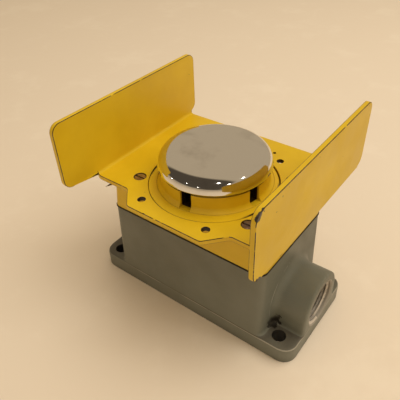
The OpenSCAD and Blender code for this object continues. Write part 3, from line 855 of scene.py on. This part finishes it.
def tint(tree, factor, first, second):
    """A mix of two colours."""
    return add(tree, "ShaderNodeMix", {0: factor, 6: first, 7: second}, data_type="RGBA").outputs[2]


def near_axis(tree, place, radius, soft, at=(0, 0), mirror=False, keep=(1, 1, 0)):
    """1 within a radius of a line, or of its four mirror images; upright unless keep says not."""
    if mirror:
        place = add(tree, "ShaderNodeVectorMath", {0: place}, operation="ABSOLUTE").outputs[0]
    moved = add(tree, "ShaderNodeVectorMath", {0: place, 1: (*at, 0)}, operation="SUBTRACT")
    flat = add(tree, "ShaderNodeVectorMath", {0: moved.outputs[0], 1: keep}, operation="MULTIPLY")
    reach = add(tree, "ShaderNodeVectorMath", {0: flat.outputs[0]}, operation="LENGTH")
    return between(tree, reach.outputs["Value"], radius, radius + soft, 1.0, 0.0)


def near_point(tree, place, at, radius):
    """1 near a point, with a ragged border."""
    reach = add(tree, "ShaderNodeVectorMath", {0: place, 1: at}, operation="DISTANCE").outputs["Value"]
    ragged = between(tree, noise(tree, place, 500, 3), 0.3, 0.7, -0.25 * radius, 0.25 * radius)
    total = add(tree, "ShaderNodeMath", {0: reach, 1: ragged}, operation="ADD").outputs[0]
    return between(tree, total, radius * 0.9, radius, 1.0, 0.0)


def height_band(tree, place, low, high, soft):
    """1 between two heights."""
    height = add(tree, "ShaderNodeSeparateXYZ", {0: place}).outputs["Z"]
    return maths(tree, "MULTIPLY", between(tree, height, low - soft, low),
                 between(tree, height, high, high + soft, 1.0, 0.0))


def shape_shader(tree, shader, colour, roughness, height=None, depth=0.0001, strength=0.3):
    """Wires colour, roughness and bump into the main shader."""
    tree.links.new(colour, shader.inputs["Base Color"])
    tree.links.new(roughness, shader.inputs["Roughness"])
    if height is not None:
        bump = add(tree, "ShaderNodeBump", {"Height": height, "Distance": depth, "Strength": strength})
        tree.links.new(bump.outputs[0], shader.inputs["Normal"])


def crevice(tree, distance):
    """1 in tight corners and 0 in the open, from nearby surfaces."""
    shade = add(tree, "ShaderNodeAmbientOcclusion", {"Distance": distance}, samples=6)
    return maths(tree, "SUBTRACT", 1.0, shade.outputs["AO"])


# %% [markdown]
# ## Yellow enamel
# The cover and the guard are sprayed the same glossy safety yellow. Thick enamel has a
# fine orange peel and drifts in tone. Its tight corners, the well inside the collar, the
# gaps at the platform's sides and the guard's holes are darkened as painted shade. On
# the guard it wears through on the edges, where a dark primer shows. The edge faces were
# marked when they were rounded, so a broken noise over that mark gives worn lines where
# hands rub.

# %% Yellow enamel
primer = (0.020, 0.011, 0.005, 1)


def yellow_enamel(name, edge_wear, marks):
    """Glossy yellow paint; edge_wear is the worn share of edges, marks adds chips and painted shade."""
    material, tree, shader, place = finish_named(name)
    drift = noise(tree, place, 26, 4)
    yellow = tint(tree, between(tree, drift, 0.35, 0.7),
                  (0.70, 0.462, 0.010, 1), (0.78, 0.535, 0.016, 1))
    # Painted shade: the enamel is darkened towards brown in tight corners, from ambient occlusion.
    enamel_corner_shade = between(tree, crevice(tree, 0.0035), 0.25, 0.85)
    shaded_yellow = tint(tree, maths(tree, "MULTIPLY", enamel_corner_shade, 0.75), yellow, (0.24, 0.12, 0.012, 1))
    specks = between(tree, noise(tree, place, 420, 2, 0.4), 0.78, 0.80)
    specked = tint(tree, specks, shaded_yellow, (0.10, 0.055, 0.012, 1))
    edge = add(tree, "ShaderNodeAttribute", {}, attribute_name="worn_edge").outputs["Fac"]
    gap = 0.60 - edge_wear * 0.3
    broken = between(tree, noise(tree, place, 160, 3), gap, gap + 0.06)
    chipped, shade_marks = marks(tree, place, maths(tree, "MULTIPLY", edge, broken))
    bare = tint(tree, between(tree, noise(tree, place, 300, 2), 0.4, 0.6),
                primer, (0.075, 0.062, 0.050, 1))
    colour = tint(tree, chipped, specked, bare)
    # Painted shade: a near-black mix darkens the cover's well and side gaps and the guard's holes.
    colour = tint(tree, shade_marks, colour, (0.020, 0.010, 0.006, 1))
    smear = between(tree, noise(tree, place, 55, 4), 0.3, 0.75, 0.36, 0.52)
    peel = noise(tree, place, 700, 2)
    shape_shader(tree, shader, colour, smear, peel, 0.00008, 0.18)
    return material


def cover_marks(tree, place, worn):
    """Painted shade in the cover's well under the head, and in the gaps where the platform's sides meet
    the guard.
    """
    outer = maths(tree, "SUBTRACT", 1.0, near_axis(tree, place, 35.2 * mm, 0.5 * mm, platform_centre))
    away = add(tree, "ShaderNodeVectorMath", {0: place}, operation="ABSOLUTE").outputs[0]
    away_x = add(tree, "ShaderNodeSeparateXYZ", {0: away}).outputs["X"]
    sideways = between(tree, away_x, 30 * mm, 34 * mm)
    seam = height_band(tree, place, 77 * mm, 79 * mm, 0.3 * mm)
    # Painted shade in the gaps at the platform's left and right sides, under the guard's opening edge.
    gap_shade = maths(tree, "MULTIPLY", outer, maths(tree, "MULTIPLY", sideways, seam))
    # Painted shade inside the collar, under the head.
    well = near_axis(tree, place, 29.0 * mm, 0.4 * mm)
    return 0.0, maths(tree, "MAXIMUM", gap_shade, well)


chips = [  # x, y, z and size in mm
    (61.2, -56.4, 116.4, 1.7), (61.2, -55.2, 118.2, 1.8), (61.2, -53.0, 119.4, 1.5),
    (60.9, -55.0, 81.2, 1.3), (60.9, -52.8, 80.4, 1.6),
    (-12.0, -46.9, 78.2, 0.9), (6.0, -46.9, 78.2, 0.6)]


def guard_marks(tree, place, worn):
    """The guard's chips at the wings' near corners, and painted shade in its holes."""
    apart = add(tree, "ShaderNodeSeparateXYZ", {0: place})
    flat_back = maths(tree, "MULTIPLY", between(tree, apart.outputs["Y"], -34 * mm, -30 * mm),
                      between(tree, apart.outputs["Z"], 79.5 * mm, 80 * mm, 1.0, 0.0))
    chipped = maths(tree, "MULTIPLY", worn, maths(tree, "SUBTRACT", 1.0, flat_back))
    for *chip_at, size in chips:
        chip = near_point(tree, place, Vector(chip_at) * mm, size * mm)
        chipped = maths(tree, "MAXIMUM", chipped, chip)
    # Painted shade deep in the countersinks round the screw heads, in the accessory holes and in the pin
    # hole.
    shade_marks = near_axis(tree, place, 3.45 * mm, 0.45 * mm, screw_at, mirror=True)
    for hole in accessory_holes:
        inside_hole = near_axis(tree, place, accessory_radius, 0.2 * mm, hole)
        shade_marks = maths(tree, "MAXIMUM", shade_marks, inside_hole)
    inside_pin = near_axis(tree, place, 0.9 * mm, 0.2 * mm, pin_at)
    return chipped, maths(tree, "MAXIMUM", shade_marks, inside_pin)


cover_enamel = yellow_enamel("yellow_cover_enamel", 0.25, cover_marks)
guard_enamel = yellow_enamel("yellow_guard_enamel", 0.9, guard_marks)
print("enamel:", len(guard_enamel.node_tree.nodes), "nodes on the guard")

# %% [markdown]
# ## Grey casting paint
# The box wears a warm grey-green paint over sand-cast aluminium: semi-gloss, faintly
# lumpy, lighter where its edges are rubbed and dark with old grease where the hub, the
# wall and the foot meet. Tight corners and the foot holes are darkened as painted shade,
# the tops of the feet are darker, and the foot's top edge and the rim of the hub's cove
# are lighter, as painted highlights over worn paint.


# %% Grey casting paint
def grey_casting_paint():
    """Warm grey paint over a cast skin."""
    material, tree, shader, place = finish_named("grey_casting_paint")
    drift = noise(tree, place, 18, 5)
    grey = tint(tree, between(tree, drift, 0.3, 0.7),
                (0.142, 0.142, 0.108, 1), (0.182, 0.188, 0.152, 1))
    rubbed = add(tree, "ShaderNodeNewGeometry", {}).outputs["Pointiness"]
    edge = between(tree, rubbed, 0.53, 0.60)
    patchy = between(tree, noise(tree, place, 90, 3), 0.4, 0.6)
    lighter = tint(tree, maths(tree, "MULTIPLY", edge, patchy), grey, (0.36, 0.35, 0.30, 1))
    # Painted shade in tight corners, from ambient occlusion, broken by noise into patches of old grease.
    grease_and_corner_shade = maths(tree, "MULTIPLY", between(tree, crevice(tree, 0.011), 0.30, 0.80),
                   between(tree, noise(tree, place, 75, 4), 0.35, 0.6))
    # Darker on the tops of the feet.
    foot_top_darkening = maths(tree, "MULTIPLY", height_band(tree, place, 10.05 * mm, 10.6 * mm, 0.25 * mm),
                    between(tree, noise(tree, place, 60, 4), 0.25, 0.6, 0.35, 0.85))
    edges_and_foot_tops = tint(tree, foot_top_darkening, lighter, (0.085, 0.074, 0.056, 1))
    # Painted highlight along the foot's top edge, with the paint worn thin there.
    foot_edge_highlight = maths(tree, "MULTIPLY", height_band(tree, place, 9.55 * mm, 9.95 * mm, 0.15 * mm),
                  between(tree, noise(tree, place, 45, 3), 0.40, 0.58, 0.15, 0.8))
    edges_and_foot_tops = tint(tree, foot_edge_highlight, edges_and_foot_tops, (0.42, 0.39, 0.32, 1))
    colour = tint(tree, grease_and_corner_shade, edges_and_foot_tops, (0.030, 0.026, 0.020, 1))
    from_hub = add(tree, "ShaderNodeVectorMath", {0: place, 1: (0, 0, hub_height)},
                   operation="SUBTRACT").outputs[0]
    # Painted highlight and rubbed paint along the rim of the hub's cove, on its upper part.
    ring = maths(tree, "SUBTRACT", near_axis(tree, from_hub, 23.5 * mm, 0.3 * mm, keep=(0, 1, 1)),
                 near_axis(tree, from_hub, 22.9 * mm, 0.3 * mm, keep=(0, 1, 1)))
    upper_ring = near_point(tree, place, (52 * mm, -18 * mm, 36 * mm), 17 * mm)
    ring = maths(tree, "MULTIPLY", ring, upper_ring)
    ring = maths(tree, "MULTIPLY", ring, between(tree, noise(tree, place, 130, 3), 0.35, 0.55, 0.1, 0.8))
    colour = tint(tree, ring, colour, (0.46, 0.44, 0.38, 1))
    nook = near_point(tree, place, (52.5 * mm, -20 * mm, 14 * mm), 5.5 * mm)
    clotted = between(tree, noise(tree, place, 110, 4), 0.4, 0.62)
    colour = tint(tree, maths(tree, "MULTIPLY", nook, clotted), colour, (0.018, 0.014, 0.009, 1))
    outward = add(tree, "ShaderNodeSeparateXYZ", {0: place}).outputs["X"]
    bore = maths(tree, "MULTIPLY", near_axis(tree, from_hub, 14.1 * mm, 0.2 * mm, keep=(0, 1, 1)),
                 between(tree, outward, 50 * mm, 52 * mm))
    colour = tint(tree, bore, colour, (0.34, 0.31, 0.26, 1))
    # Painted shade inside the foot holes.
    holes = near_axis(tree, place, 3.7 * mm, 0.5 * mm, foot_hole_at, mirror=True)
    colour = tint(tree, holes, colour, (0.022, 0.018, 0.014, 1))
    gloss = between(tree, noise(tree, place, 60, 3), 0.3, 0.7, 0.36, 0.52)
    lumps = noise(tree, place, 120, 6, 0.65)
    shape_shader(tree, shader, colour, gloss, lumps, 0.0005, 0.22)
    return material


casting_paint = grey_casting_paint()
print("casting paint:", len(casting_paint.node_tree.nodes), "nodes")

# %% [markdown]
# ## Chrome
# Plating over polished steel is nearly a mirror. What makes it read as a used object is
# small: hand smears that dull the shine in soft patches, fine hairlines and a few pits.


# %% Chrome
def chrome_plate():
    """Bright chrome with smears and pits."""
    material, tree, shader, place = finish_named("chrome_plate")
    shader.inputs["Metallic"].default_value = 1.0
    pits = between(tree, noise(tree, place, 260, 2, 0.4), 0.79, 0.81)
    haze = between(tree, noise(tree, place, 48, 4), 0.52, 0.72)
    metal = tint(tree, haze, (0.80, 0.79, 0.77, 1), (0.68, 0.665, 0.64, 1))
    colour = tint(tree, pits, metal, (0.16, 0.13, 0.10, 1))
    dulled = between(tree, noise(tree, place, 70, 5, 0.6), 0.35, 0.8, 0.04, 0.12)
    scratches = noise(tree, place, 320, 2, 0.5, (1, 14, 1))
    shape_shader(tree, shader, colour, dulled, scratches, 0.00002, 0.12)
    return material


head_chrome = chrome_plate()
print("chrome:", len(head_chrome.node_tree.nodes), "nodes")

# %% [markdown]
# ## Metals
# Bare and plated metals differ in colour, in how rough the cutter or the bath left them
# and in what clings to them. One recipe takes those as parameters: a base and a stain
# colour, a roughness range, and the direction in which the tool marks run. Tight corners
# are darkened as painted shade.


# %% Metals
def worked_metal(name, base, stain, smooth, rough, marks=(1, 1, 12), shade_depth=1.0, metallic=1.0):
    """Metal with tool marks, stains and painted shade in its corners."""
    material, tree, shader, place = finish_named(name)
    shader.inputs["Metallic"].default_value = metallic
    blotches = between(tree, noise(tree, place, 180, 4), 0.45, 0.72)
    stained = tint(tree, blotches, (*base, 1), (*stain, 1))
    # Painted shade in tight corners, from ambient occlusion.
    metal_corner_shade = between(tree, crevice(tree, 0.0012), 0.35, 0.9, 0.0, shade_depth)
    colour = tint(tree, metal_corner_shade, stained, (0.025, 0.02, 0.015, 1))
    gloss = between(tree, noise(tree, place, 240, 3), 0.3, 0.75, smooth, rough)
    lines = noise(tree, place, 900, 2, 0.5, marks)
    shape_shader(tree, shader, colour, gloss, lines, 0.00005, 0.2)
    return material


steel = worked_metal("plain_steel", (0.50, 0.40, 0.34), (0.30, 0.20, 0.15), 0.30, 0.52)
zinc = worked_metal("zinc_plate", (0.62, 0.62, 0.58), (0.45, 0.43, 0.33), 0.22, 0.42)
ground = worked_metal("ground_steel", (0.58, 0.57, 0.55), (0.42, 0.40, 0.38), 0.10, 0.24, (1, 1, 30))
spring_wire = worked_metal("spring_steel", (0.34, 0.33, 0.32), (0.16, 0.13, 0.11), 0.28, 0.46)
bronze = worked_metal("sintered_bronze", (0.52, 0.33, 0.14), (0.30, 0.17, 0.07), 0.30, 0.55)
brass = worked_metal("brass_strip", (0.66, 0.47, 0.20), (0.42, 0.25, 0.10), 0.22, 0.42)
silver = worked_metal("silver_contact", (0.80, 0.79, 0.76), (0.36, 0.33, 0.31), 0.18, 0.45)
bare_thread = worked_metal("cut_thread", (0.66, 0.62, 0.56), (0.36, 0.32, 0.27), 0.25, 0.45, (1, 30, 1),
                           shade_depth=0.2, metallic=0.4)
print("materials so far:", len(bpy.data.materials))

# %% [markdown]
# ## Mouldings and rubber
# The contact block is phenolic resin, pressed hot with wood flour: dark, half-glossy
# and faintly mottled. Rubber is duller and holds dust. Both are one recipe with
# different colours and grain.


# %% Mouldings and rubber
def moulding(name, base, fleck, smooth, rough, grain):
    """A pressed resin or rubber with flecks and a fine skin."""
    material, tree, shader, place = finish_named(name)
    flecks = between(tree, noise(tree, place, grain, 5, 0.7), 0.50, 0.68)
    mottled = tint(tree, flecks, (*base, 1), (*fleck, 1))
    # Lighter in tight corners, as dust on the dark resins and rubber; on the pale floor paper the same
    # mix darkens the paper against the box as painted shade.
    dust_and_floor_shade = between(tree, crevice(tree, 0.002), 0.3, 0.9, 0.0, 0.5)
    colour = tint(tree, dust_and_floor_shade, mottled, (0.20, 0.17, 0.13, 1))
    gloss = between(tree, noise(tree, place, 150, 3), 0.3, 0.7, smooth, rough)
    skin = noise(tree, place, 1400, 3)
    shape_shader(tree, shader, colour, gloss, skin, 0.00005, 0.25)
    return material


black_phenolic = moulding("black_phenolic", (0.018, 0.015, 0.012), (0.040, 0.032, 0.024),
                          0.25, 0.42, 900)
brown_phenolic = moulding("brown_phenolic", (0.040, 0.024, 0.014), (0.075, 0.045, 0.026),
                          0.28, 0.45, 900)
red_phenolic = moulding("red_phenolic", (0.180, 0.022, 0.012), (0.250, 0.045, 0.025), 0.28, 0.42, 900)
gasket_rubber = moulding("gasket_rubber", (0.012, 0.011, 0.009), (0.030, 0.026, 0.020),
                         0.55, 0.80, 1200)
seal_rubber = moulding("seal_rubber", (0.014, 0.013, 0.012), (0.022, 0.020, 0.018), 0.40, 0.60, 1500)
green_enamel = moulding("green_screw_paint", (0.030, 0.160, 0.050), (0.060, 0.230, 0.080),
                        0.25, 0.42, 700)
# The floor paper shares this recipe, so it is darkened against the box as painted shade.
floor_paper = moulding("floor_paper", (0.88, 0.775, 0.64), (0.91, 0.81, 0.675), 0.55, 0.70, 14)
floor.data.materials.append(floor_paper)
print("materials:", len(bpy.data.materials))

# %% [markdown]
# ## Put it together
# Each row gives a new piece, the CAD node it stands for, a slot name and the finish it
# takes; the piece rides on the body that carries that node, and the node is hidden. The
# CAD nodes that stay are the hidden works; each gets the finish of what it is made of.

# %% Fit the new pieces
new_pieces = [
    (cast_box, "base_box", "cast_grey", casting_paint),
    (gasket, "cover_gasket", "gasket", gasket_rubber),
    (lid, "cover", "yellow_cover", cover_enamel),
    (channel, "guard_plate", "yellow_sheet", guard_enamel),
    (first, "cover_screws", "plain_steel", steel),
    (head, "mushroom_cap", "chrome", head_chrome),
    (head_spring, "return_spring", "spring_steel", spring_wire),
    (contact_spring, "carrier_spring", "spring_steel", spring_wire),
]
bodies = frame["record"]["behaviour"]["bodies"]
body_of = {node: body for body, nodes in bodies.items() for node in nodes}
for piece, node, slot, material in new_pieces:
    piece.data.materials.clear()
    piece.data.materials.append(material)
    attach(piece, body_of[node])
    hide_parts(node)
conduit_thread.data.materials.append(bare_thread)
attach(conduit_thread, body_of["base_box"])
print("new pieces:", len(new_pieces) + 1)

# %% Give the springs their own meshes
for coil, node, joint in ((head_spring, "return_spring", "palm_press"),
                          (contact_spring, "carrier_spring", "carrier_slide")):
    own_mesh(coil)

# %% Finish the hidden works
slot_finish = {
    "plain_steel": steel, "zinc_steel": zinc, "ground_steel": ground, "spring_steel": spring_wire,
    "bronze": bronze, "brass": brass, "silver": silver, "seal_rubber": seal_rubber,
    "black_moulding": black_phenolic, "brown_moulding": brown_phenolic,
    "red_moulding": red_phenolic, "green_screw": green_enamel,
}
replaced = {node for _, node, _, _ in new_pieces}
for name, node in frame["nodes"].items():
    if name in replaced:
        continue
    for index, old in enumerate(node.data.materials):
        node.data.materials[index] = slot_finish[old.name.split(".")[0]]
print("hidden pieces:", len(frame["nodes"]) - len(replaced))
